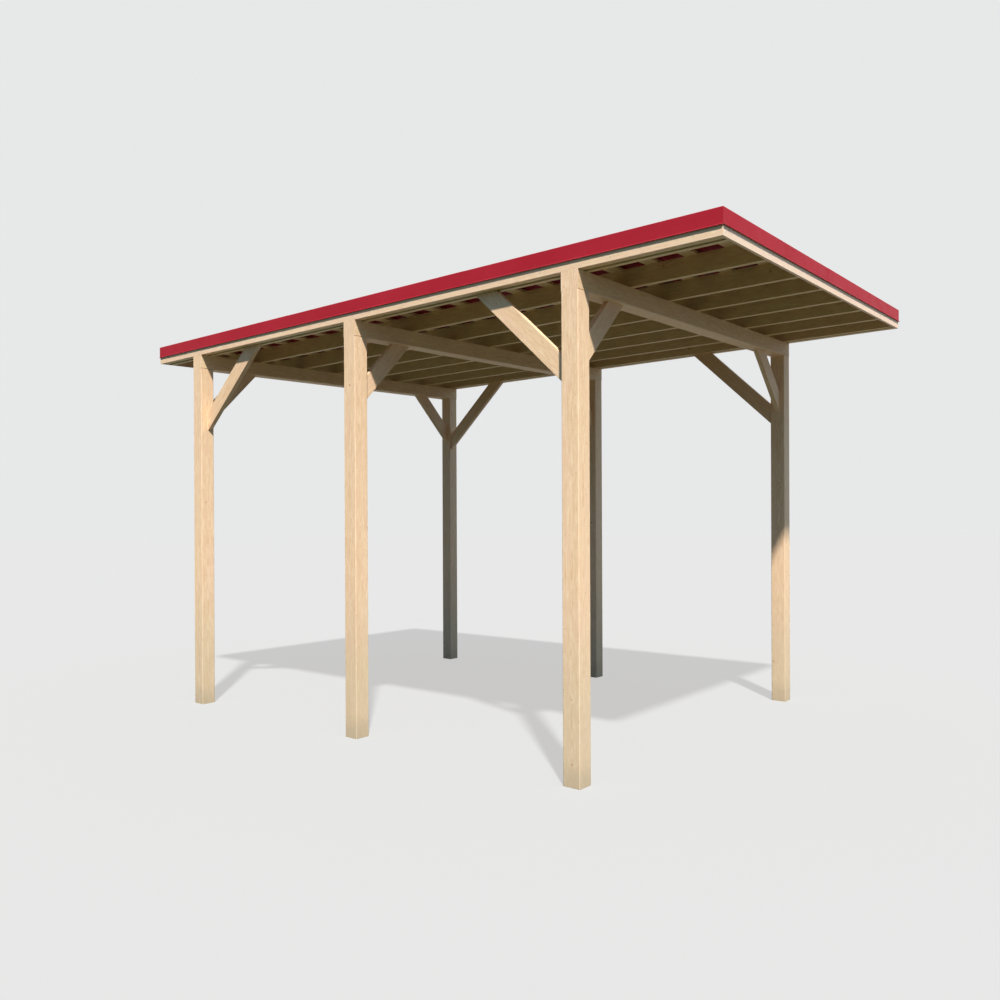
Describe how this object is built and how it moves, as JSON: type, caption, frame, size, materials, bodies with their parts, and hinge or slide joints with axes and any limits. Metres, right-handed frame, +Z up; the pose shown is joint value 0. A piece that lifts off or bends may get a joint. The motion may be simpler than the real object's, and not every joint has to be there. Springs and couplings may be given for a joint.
{
  "type": "carport",
  "caption": "Tall open timber carport on square posts with knee braces, joists under a low-pitched sheet roof, edged with timber boards and red metal trims.",
  "frame": {"origin": "centre of the plan at ground level, under the posts", "axes": "+Z up, +Y along the length from the entrance end to the rear, +X across towards the high side of the roof"},
  "size_m": [3.856, 6.376, 3.7951],
  "materials": {
    "timber": "planed, untreated softwood",
    "red_metal": "satin coated steel sheet"
  },
  "bodies": {
    "root": {"cross_beam_front": "timber", "cross_beam_middle": "timber", "cross_beam_rear": "timber", "cross_brace_left_front": "timber", "cross_brace_left_middle": "timber", "cross_brace_left_rear": "timber", "cross_brace_right_front": "timber", "cross_brace_right_middle": "timber", "cross_brace_right_rear": "timber", "edge_board_front": "timber", "edge_board_left": "timber", "edge_board_rear": "timber", "edge_board_right": "timber", "edge_joist_left": "timber", "edge_joist_right": "timber", "edge_trim_front": "red_metal", "edge_trim_left": "red_metal", "edge_trim_rear": "red_metal", "edge_trim_right": "red_metal", "joist_1": "timber", "joist_2": "timber", "joist_3": "timber", "joist_4": "timber", "joist_5": "timber", "joist_6": "timber", "joist_7": "timber", "joist_8": "timber", "long_brace_left_front": "timber", "long_brace_left_rear": "timber", "long_brace_right_front": "timber", "long_brace_right_rear": "timber", "post_left_front": "timber", "post_left_middle": "timber", "post_left_rear": "timber", "post_right_front": "timber", "post_right_middle": "timber", "post_right_rear": "timber", "roof_battens": "timber", "roof_sheet": "red_metal"}
  },
  "joints": []
}
